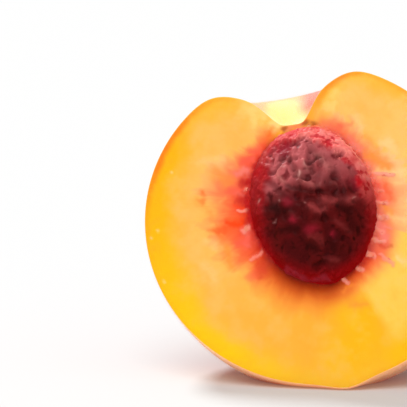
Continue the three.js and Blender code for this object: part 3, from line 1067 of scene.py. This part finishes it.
outline_share = np.hypot(*(front / (STONE_HALF[[0, 2]] / MM)).T)
film_angle = np.degrees(np.arctan2(front[:, 1], front[:, 0]))
film_edge = hills(film_angle, FILM_WIDTH, FILM_HILLS) * (0.35 + 1.3 * layered(oval / FILM_EDGE_PITCH + 3, 4))
film_blur = hills(film_angle, FILM_BLUR, [FILM_BLUR_HILL])
film = np.clip((film_edge - (1 - outline_share) * STONE_REACH) / film_blur + 0.5, 0, 1)
film = film * film * (3 - 2 * film)
film_pink = bell(turn_between(film_angle, PINK_SECTOR[0]), PINK_SECTOR[1], 3)
film_lumps = layered(oval / FILM_LUMP_PITCH + 41, 3)
stone_rim = np.clip((outline_share - RIM_START) / RIM_FADE, 0, 1)
print("share of the oval under film:", film.mean().round(2))

# %% Depth of the stone's surface
collar_here = np.interp(film_angle, np.degrees(around), collar, period=360)
out_of_bed = -oval[:, 1] - collar_here - BED_GAP
above_collar = np.where(oval[:, 1] < 0, np.maximum(0, out_of_bed), -oval[:, 1])
free = 1 - bell(above_collar, PULP_WIDTH)
bare_depth = FURROW_DEPTH * FURROW_SHARE * furrows
bare_depth += (FOLD_RISE * (1 - folds) + HOLLOW_DEPTH * hollows) * MM
film_depth = FILM_THICKNESS * (1 - film_lumps)
showing = np.clip(out_of_bed / BURIED + 1, 0, 1) * (oval[:, 1] < 0)
lump_rise = np.clip((film_lumps - 0.5) * 4 + pink_lumps, 0, 1) * FILM_RISE
sunk = free * (bare_depth * (1 - film) + film_depth * film) - film * showing * (FILM_LIP + lump_rise)
inward = STONE_MIDDLE - oval
inward /= np.linalg.norm(inward, axis=1, keepdims=True)
stone_points = oval + inward * sunk[:, None]
print("stone sinks below its oval by up to, mm:", (sunk.max() / MM).round(2))

# %% Stone mesh
stone_numbers = np.arange(len(oval)).reshape(stone_polar.shape)
stone_numbers[0] = stone_numbers[0, 0]
stone_numbers[-1] = stone_numbers[-1, 0]
bare_stone = mesh_object("bare_stone", stand(stone_points), drop_doubles(grid_faces(ring(stone_numbers))))
stone_values = {
    "furrow": furrows * free,
    "fold": folds * free,
    "hollow": hollows * free,
    "clot": clots,
    "film": film,
    "film_pink": film_pink,
    "film_lumps": film_lumps,
    "stone_rim": stone_rim,
    "hem": bell(out_of_bed, HEM),
    "pink_lumps": pink_lumps,
    "glint": painted_glints,
    "crescent": crescent,
    "bare": free * (1 - FILM_SMOOTHS * film),
}
for name, values in stone_values.items():
    store(bare_stone.data, name, values)
store(bare_stone.data, "in_stone", (stone_points - STONE_MIDDLE) / MM)
drop_loose(bare_stone.data)
print("stone:", len(bare_stone.data.polygons), "faces")

# %% [markdown]
# ### The stone's colours
#
# The shell of a ripe stone is a dark crimson. It is paler above, partly a drier film out of the juice and
# partly painted light, as the light falls from above. A wet film of pulp lies over its rim. One noise could
# mottle it all, but the folds, the hollows and the clots have their places. So each of them is a mask that
# lays its own coat of colour over the coats below: a painted highlight on the folds, painted shade in the
# hollows and furrows. The wrinkles are made in the next step, which leaves their height on the points. Their
# ridges get a painted sheen and their valleys painted shade.

# %% Shell of the stone
wet_stone, g, shader = new_material(
    "wet_stone",
    Specular_IOR_Level=0.03,
    Roughness=0.55,
    Coat_Roughness=0.4,
)
in_stone = g.attribute("in_stone", vector=True)
stone_axes = g.add("ShaderNodeSeparateXYZ", None, {0: in_stone})
up_the_stone, to_the_right = stone_axes.other("Z"), stone_axes.other("X")
lit_ridges = g.step(0.1, 0.8, g.attribute("wrinkle"))
clumps = g.noise(in_stone, scale=0.35, detail=3.0, roughness=0.6)
blots = g.noise(in_stone, scale=0.17, detail=2.0)
grain = g.noise(in_stone, scale=1.5, detail=3.0)

# Painted light: the top of the shell is paler, partly a drier film and partly light from above. The ridges of
# the wrinkles carry a painted sheen and their valleys painted shade.
upper = g.step(-1, 7, up_the_stone - to_the_right * 0.15 + (blots - 0.5) * 12)
dark_shell = g.mix(lit_ridges, (54, 3, 2), (90, 12, 13))
pale_shell = g.mix(lit_ridges, (120, 36, 40), (178, 82, 84))
fold_tone = g.mix(upper, (148, 54, 54), (206, 118, 112))
shell = g.coats(
    g.mix(upper, dark_shell, pale_shell),
    # A painted highlight on the raised folds, and painted shade in the furrows and the hollows.
    (g.attribute("fold") * (0.6 + grain * 0.4), fold_tone),
    (g.attribute("furrow") * 0.5, (52, 5, 7)),
    (g.attribute("hollow") * 0.85, (46, 5, 4)),
    (g.step(0.56, 0.74, blots) * 0.4, (128, 12, 22)),
)
print("shell of the stone:", len(wet_stone.node_tree.nodes), "nodes")

# %% Film on the stone
# The film is crimson, with paler lumps. Where it turns pink its lumps are nearly the colour of the flesh.
film_here, pink_here = g.attribute("film"), g.attribute("film_pink")
rim_here = g.attribute("stone_rim")
low_film = g.coats(
    g.mix(g.step(-12, 8, up_the_stone + (clumps - 0.5) * 6), (114, 4, 8), (146, 8, 16)),
    (g.step(0.45, 0.7, g.attribute("film_lumps")) * 0.5, (164, 24, 30)),
    (rim_here * 0.7, (150, 2, 8)),
)
pulp = g.attribute("film_lumps") + (clumps - 0.5) * 0.6 + (grain - 0.5) * 0.4
pulp = pulp + g.attribute("pink_lumps") * 0.3 + rim_here * 0.25
pink_film = g.mix(g.step(0.4, 0.62, pulp), (184, 38, 46), (238, 112, 106))
pink_film = g.mix(g.attribute("pink_lumps") * 0.6, pink_film, (248, 146, 134))
hem_tone = g.mix(pink_here, (168, 6, 12), (255, 150, 128))
clot_tone = g.mix(film_here, (140, 22, 38), (182, 12, 26))
stone_colour = g.coats(
    shell,
    (film_here * 0.92, g.mix(pink_here, low_film, pink_film)),
    (g.attribute("hem") * 0.8, hem_tone),
    # Painted shade: the film is darker at the stone's top, where the light from behind falls strongest.
    (g.step(13, 16.5, up_the_stone) * film_here * 0.7, (196, 56, 52)),
    (g.attribute("clot") * (grain * 0.4 + 0.65), clot_tone),
    # Painted sheen along the stone's lower edge.
    (g.attribute("crescent") * 0.7, (146, 40, 54)),
    # Painted highlights: the glints.
    (g.attribute("glint") * 0.8, (226, 160, 152)),
)
wet = g.step(-8, 8, up_the_stone) * g.step(0.35, 0.65, grain * 0.4 + clumps * 0.6) * 0.15 + 0.01
rough_skin = g.bump(0.5, 0.3 * MM, clumps * 0.6 + grain * 0.4)
feed(shader, Base_Color=stone_colour, Normal=rough_skin, Coat_Weight=wet)

# %% [markdown]
# ### Wrinkles with Geometry Nodes
#
# Under the furrows comes a finer relief: wrinkles of shrunken pulp and the grain of the shell. It follows
# the surface and a rule, so Geometry Nodes move the points. Everything moves inwards, so the stone keeps
# its size. One helper makes a tree with named inputs, and one runs it on an object and returns the result
# as a plain mesh.

# %% A tree with named inputs, and how to run it
def new_tree(name, **inputs):
    """An empty tree, its graph and one signal for each named input."""
    tree = bpy.data.node_groups.new(name, "GeometryNodeTree")
    tree.interface.new_socket("Geometry", in_out="INPUT", socket_type="NodeSocketGeometry")
    for label, kind in inputs.items():
        tree.interface.new_socket(label.replace("_", " "), in_out="INPUT", socket_type="NodeSocket" + kind)
    tree.interface.new_socket("Geometry", in_out="OUTPUT", socket_type="NodeSocketGeometry")
    graph = Graph(tree)
    source = graph.add("NodeGroupInput")
    print(name, "takes", ", ".join(inputs))
    return graph, source, [source.other(label.replace("_", " ")) for label in inputs]


def run_tree(graph, source, name, **values):
    """Runs the tree on an object and keeps the result as a new object with a plain mesh."""
    modifier = source.modifiers.new(name, "NODES")
    modifier.node_group = graph.tree
    for socket in graph.tree.interface.items_tree:
        if socket.in_out == "INPUT" and socket.name.replace(" ", "_") in values:
            modifier[socket.identifier] = values[socket.name.replace(" ", "_")]
    evaluated = source.evaluated_get(bpy.context.evaluated_depsgraph_get())
    mesh = bpy.data.meshes.new_from_object(evaluated)
    source.modifiers.remove(modifier)
    made = bpy.data.objects.new(name, mesh)
    bpy.context.collection.objects.link(made)
    print(name, "has", sum(len(face.vertices) - 2 for face in mesh.polygons), "triangles")
    return made


# %% Geometry Nodes that several trees use
def kept_value(graph, name, vector=False):
    """A value that was kept on the points."""
    settings = {"data_type": "FLOAT_VECTOR" if vector else "FLOAT"}
    return graph.add("GeometryNodeInputNamedAttribute", settings, {"Name": name})


def seeded_noise(graph, seed, pitch, detail, distortion=0.0, output=0):
    """Noise whose lumps are about one pitch apart."""
    point = graph.add("GeometryNodeInputPosition")
    values = {"Vector": point, "W": seed, "Scale": 1 / pitch, "Detail": detail, "Distortion": distortion}
    return graph.add("ShaderNodeTexNoise", {"noise_dimensions": "4D"}, values, output=output)


def vector_times(graph, vector, factor):
    return graph.add("ShaderNodeVectorMath", {"operation": "SCALE"}, {0: vector, "Scale": factor})


def move_points(graph, geometry, offset):
    return graph.add("GeometryNodeSetPosition", None, {"Geometry": geometry, "Offset": offset})


def finish_tree(graph, instances, finish):
    """Makes every instance real and gives it its material, because the export drops instances."""
    single = graph.add("GeometryNodeRealizeInstances", None, {0: instances})
    painted = graph.add("GeometryNodeSetMaterial", None, {"Geometry": single, "Material": finish})
    graph.add("NodeGroupOutput", None, {0: painted})
    print(graph.tree.name, "has", len(graph.tree.nodes), "nodes")


# %% Wrinkles on the stone
RIDGE_SHARPNESS = 2.4

g, source, inputs = new_tree(
    "stone_relief",
    Wrinkle_height="Float",
    Wrinkle_pitch="Float",
    Grain_height="Float",
    Grain_pitch="Float",
    Seed="Float",
    Finish="Material",
)
wrinkle_height, wrinkle_pitch, grain_height, grain_pitch, seed, finish = inputs
ridge = 1 - g.maths("ABSOLUTE", seeded_noise(g, seed, wrinkle_pitch, 2.0, 0.4) * 2 - 1) * RIDGE_SHARPNESS
ridge = g.maths("MAXIMUM", ridge, 0.0)
rough = seeded_noise(g, seed, grain_pitch, 3.0)
depth = ((1 - ridge) * wrinkle_height + rough * grain_height) * kept_value(g, "bare")
inwards = vector_times(g, g.add("GeometryNodeInputNormal"), depth * -1)
marked = g.add(
    "GeometryNodeStoreNamedAttribute",
    {"data_type": "FLOAT", "domain": "POINT"},
    {"Geometry": move_points(g, source, inwards), "Name": "wrinkle", "Value": ridge},
)
finish_tree(g, marked, finish)

stone = run_tree(
    g,
    bare_stone,
    "peach_stone",
    Wrinkle_height=0.3 * MM,
    Wrinkle_pitch=2.2 * MM,
    Grain_height=0.3 * MM,
    Grain_pitch=1.2 * MM,
    Seed=4.0,
    Finish=wet_stone,
)
bpy.data.objects.remove(bare_stone)

# %% [markdown]
# ## Torn flesh round the stone
#
# The shreds could be hair particles, but those don't stay a mesh. Here each is a small ball, stretched
# along its line and laid flat on the face at the place worked out above. Once the balls are real, noise in
# the room's own coordinates pushes their points about, so no two shreds come out alike.

# %% Material of the torn flesh
torn_flesh, g, shader = new_material(
    "torn_flesh",
    Subsurface_Weight=0.4,
    Subsurface_Radius=(1.0, 0.5, 0.4),
    Subsurface_Scale=0.8 * MM,
    Specular_IOR_Level=0.12,
    Roughness=0.4,
)
blend = g.noise(g.add("ShaderNodeTexCoord", output="Object"), scale=0.4 * MM_PER_M, detail=2.0)
feed(shader, Base_Color=g.mix(g.step(0.35, 0.65, blend), (250, 112, 84), (254, 140, 112)))

# %% Places of the shreds
BREADTH, FLATNESS = 2.1, 0.25  # its width over its half-width above, and its thickness over its width
SHRED_SINK = 0.16 * MM  # its middle lies this far below the top of the swelling it sits on
# A second, slimmer shred lies beside each one. It starts later on its line and ends a little astray.
ASIDE, LATER, ASTRAY_END, SLIMMER = 0.45, 0.3, 0.3, 0.7
shred_draw = np.random.default_rng(5)

beside = np.array(SHREDS)
step_aside = shred_draw.normal(0, ASIDE, (len(beside), 2))
beside[:, 0:2] += step_aside + (beside[:, 2:4] - beside[:, 0:2]) * LATER
beside[:, 2:4] += step_aside + shred_draw.normal(0, ASTRAY_END, (len(beside), 2))
beside[:, 4] *= SLIMMER
shred_lines = np.vstack([SHREDS, beside])
centres = (shred_lines[:, 0:2] + shred_lines[:, 2:4]) / 2
nearest = [np.linalg.norm(on_face - centre, axis=1).argmin() for centre in centres]
depths = face_relief[nearest, 1] + SHRED_SINK
shred_points = np.column_stack([centres[:, 0] * MM, depths, centres[:, 1] * MM])
runs = shred_lines[:, 2:4] - shred_lines[:, 0:2]
aims = np.column_stack([runs[:, 0], 0 * depths, runs[:, 1]]) * MM
places = mesh_object("shred_places", stand(shred_points), [])
store(places.data, "aim", aims @ turned.T)
widths = shred_lines[:, 4] * BREADTH * MM
store(places.data, "size", np.column_stack([widths, widths * FLATNESS, np.linalg.norm(aims, axis=1)]))
print("shreds:", len(shred_lines))

# %% Shreds
g, source, inputs = new_tree(
    "torn_flesh",
    Face_normal="Vector",
    Lumpiness="Float",
    Lump_pitch="Float",
    Seed="Float",
    Finish="Material",
)
face_normal, lumpiness, lump_pitch, seed, finish = inputs
aim = kept_value(g, "aim", vector=True)
along = g.add("FunctionNodeAlignRotationToVector", {"axis": "Z"}, {"Vector": aim})
settings = {"axis": "Y", "pivot_axis": "Z"}
lying = g.add("FunctionNodeAlignRotationToVector", settings, {"Rotation": along, "Vector": face_normal})
ball = g.add("GeometryNodeMeshIcoSphere", None, {"Radius": 0.5, "Subdivisions": 3})
size = kept_value(g, "size", vector=True)
values = {"Points": source, "Instance": ball, "Rotation": lying, "Scale": size}
laid = g.add("GeometryNodeRealizeInstances", None, {0: g.add("GeometryNodeInstanceOnPoints", None, values)})
push = seeded_noise(g, seed, lump_pitch, 2.0, output="Color")
push = g.add("ShaderNodeVectorMath", {"operation": "SUBTRACT"}, {0: push, 1: (0.5, 0.5, 0.5)})
lumpy = move_points(g, laid, vector_times(g, push, lumpiness))
finish_tree(g, g.add("GeometryNodeSetShadeSmooth", None, {"Geometry": lumpy}), finish)

torn_bits = run_tree(
    g,
    places,
    "torn_flesh",
    Face_normal=Vector(turned @ np.array([0, -1, 0])),
    Lumpiness=0.35 * MM,
    Lump_pitch=0.7 * MM,
    Seed=2.0,
    Finish=torn_flesh,
)
bpy.data.objects.remove(places)

# %% [markdown]
# ## Down on the skin
#
# A peach is covered in down: soft hairs under half a millimetre long that blur its outline and make it look
# velvety. A sheen in the material gives the glow, and real hairs give the soft edge. There are thousands,
# so each is a three-sided spike of four triangles.

# %% Nodes that scatter
def scatter(graph, source, region, density, seed):
    """Random points on one region of the half."""
    index = graph.add("GeometryNodeInputMaterialIndex")
    chosen = graph.maths("COMPARE", index, region, 0.1)
    values = {"Mesh": source, "Selection": chosen, "Density": density, "Seed": seed}
    return graph.add("GeometryNodeDistributePointsOnFaces", {"distribute_method": "RANDOM"}, values)


def random_value(graph, kind, low, high, seed, number):
    """A random number or vector for each point. The number keeps two uses of one seed apart."""
    minimum, maximum, output = {"FLOAT_VECTOR": (0, 1, 0), "FLOAT": (2, 3, 1)}[kind]
    values = {minimum: low, maximum: high, "ID": graph.add("GeometryNodeInputIndex"), "Seed": seed + number}
    return graph.add("FunctionNodeRandomValue", {"data_type": kind}, values, output=output)


# %% Material of the down
soft_down, g, shader = new_material(
    "soft_down",
    Specular_IOR_Level=0.2,
    Roughness=0.7,
)
shades = g.noise(g.add("ShaderNodeTexCoord", output="Object"), scale=0.2 * MM_PER_M)
feed(shader, Base_Color=g.mix(shades, (255, 214, 186), (255, 240, 222)))

# %% Down
SHORTEST, LONGEST = 0.6, 1.3  # times the length that the tree is given

g, source, inputs = new_tree(
    "down",
    Per_square_metre="Float",
    Length="Float",
    Thickness="Float",
    Ruffle="Float",
    Seed="Int",
    Finish="Material",
)
per_area, length, thickness, ruffle, seed, finish = inputs
roots = scatter(g, source, SKIN, per_area * kept_value(g, "downy"), seed)
any_way = random_value(g, "FLOAT_VECTOR", (-1, -1, -1), (1, 1, 1), seed, 1)
ruffled = {0: roots.other("Normal"), 1: vector_times(g, any_way, ruffle)}
aim = g.add("ShaderNodeVectorMath", {"operation": "ADD"}, ruffled)
upright = g.add("FunctionNodeAlignRotationToVector", {"axis": "Z"}, {"Vector": aim})
taller = random_value(g, "FLOAT", SHORTEST, LONGEST, seed, 2)
scale = g.add("ShaderNodeCombineXYZ", None, {"X": thickness, "Y": thickness, "Z": taller * length})
values = {"Vertices": 3, "Radius Top": 0.0, "Radius Bottom": 1.0, "Depth": 1.0}
spike = g.add("GeometryNodeMeshCone", {"fill_type": "NGON"}, values)
values = {"Points": roots, "Instance": spike, "Rotation": upright, "Scale": scale}
finish_tree(g, g.add("GeometryNodeInstanceOnPoints", None, values), finish)

down = run_tree(
    g,
    half,
    "peach_down",
    Per_square_metre=3.2e6,
    Length=0.45 * MM,
    Thickness=0.014 * MM,
    Ruffle=0.6,
    Seed=8,
    Finish=soft_down,
)

# %% [markdown]
# ## Stage, light and camera
#
# The half stands on a large white floor. A real white table under a bright lamp throws warm light back into
# the shadows, so the floor has a faint warm glow of its own and a base colour that makes up for it.

# %% Stage
FLOOR_SIZE = 8.0
FLOOR_DROP = 0.05 * MM  # a hair below the ground, so that the two surfaces don't fight
corners = np.array([(-1, -1, 0), (1, -1, 0), (1, 1, 0), (-1, 1, 0)]) * FLOOR_SIZE / 2
floor = mesh_object("floor", corners - [0, 0, FLOOR_DROP], [(0, 1, 2, 3)])
white, g, shader = new_material(
    "white_floor",
    Base_Color=(0.475, 0.521, 0.533, 1),
    Roughness=0.9,
    Specular_IOR_Level=0.0,
    Emission_Color=(1.0, 0.45, 0.3, 1),
    Emission_Strength=0.15,
)
floor.data.materials.append(white)
print("floor, m:", FLOOR_SIZE)

# %% [markdown]
# A peach looks best in soft light. A broad softbox in front lights the cut face and lets the stone throw a
# short soft shadow. A second one, behind on the left, brightens the table and lays the half's shadow to the
# front. The even white of the room fills the rest.

# %% Light
world = bpy.data.worlds.new("studio")
world.use_nodes = True
room = world.node_tree.nodes["Background"].inputs
room["Color"].default_value = (1, 1, 1, 1)
room["Strength"].default_value = 0.6
bpy.context.scene.world = world


def sun(name, energy, size, tilt, side):
    """A large soft light, far away. It shines straight down before it is tilted."""
    light = bpy.data.lights.new(name, "SUN")
    light.energy = energy
    light.angle = np.radians(size)
    lamp = bpy.data.objects.new(name, light)
    lamp.rotation_euler = (np.radians(tilt), np.radians(side), 0)
    bpy.context.collection.objects.link(lamp)
    print(name, "is", size, "degrees wide, tilted by", tilt, "and", side)


sun("front_softbox", energy=1.5, size=45, tilt=30, side=-8)
sun("back_softbox", energy=3.35, size=16, tilt=-32, side=-31)
bpy.context.scene.view_settings.view_transform = "Standard"

# %% [markdown]
# The camera stands a little to the right, a little above, and far enough away for a calm perspective. Its
# aim follows from two measures: how much of the fruit one pixel covers, and on which pixel the fruit's
# middle falls.

# %% Camera
IMAGE_WIDTH = 407
PIXEL = 0.2105 * MM  # what one pixel covers at the fruit's middle
MIDDLE_PIXEL = (312.8, 220.6)  # where the fruit's middle shows
DISTANCE = 0.5
AZIMUTH, ELEVATION = np.radians(6), np.radians(8)


def off_axis(pixel):
    """How far a pixel lies from the picture's middle, as an angle."""
    return np.arctan((pixel - IMAGE_WIDTH / 2) * PIXEL / DISTANCE)


camera_data = bpy.data.cameras.new("camera")
camera_data.angle = 2 * np.arctan(IMAGE_WIDTH * PIXEL / 2 / DISTANCE)
camera = bpy.data.objects.new("camera", camera_data)
level = np.cos(ELEVATION)
away = Vector((np.sin(AZIMUTH) * level, -np.cos(AZIMUTH) * level, np.sin(ELEVATION)))
camera.location = Vector(fruit_middle) + away * DISTANCE
facing = away.to_track_quat("Z", "Y").to_matrix()
aside, below = [Matrix.Rotation(off_axis(at), 3, axis) for at, axis in zip(MIDDLE_PIXEL, "YX")]
camera.rotation_euler = (facing @ aside @ below).to_euler()
bpy.context.collection.objects.link(camera)
bpy.context.scene.camera = camera
print("camera at", [round(v, 3) for v in camera.location])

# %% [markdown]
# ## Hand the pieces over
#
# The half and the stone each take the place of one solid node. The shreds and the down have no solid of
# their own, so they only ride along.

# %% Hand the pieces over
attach(half, "root")
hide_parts("flesh_half")
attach(stone, "root")
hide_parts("stone")
for extra in (torn_bits, down):
    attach(extra, "root")
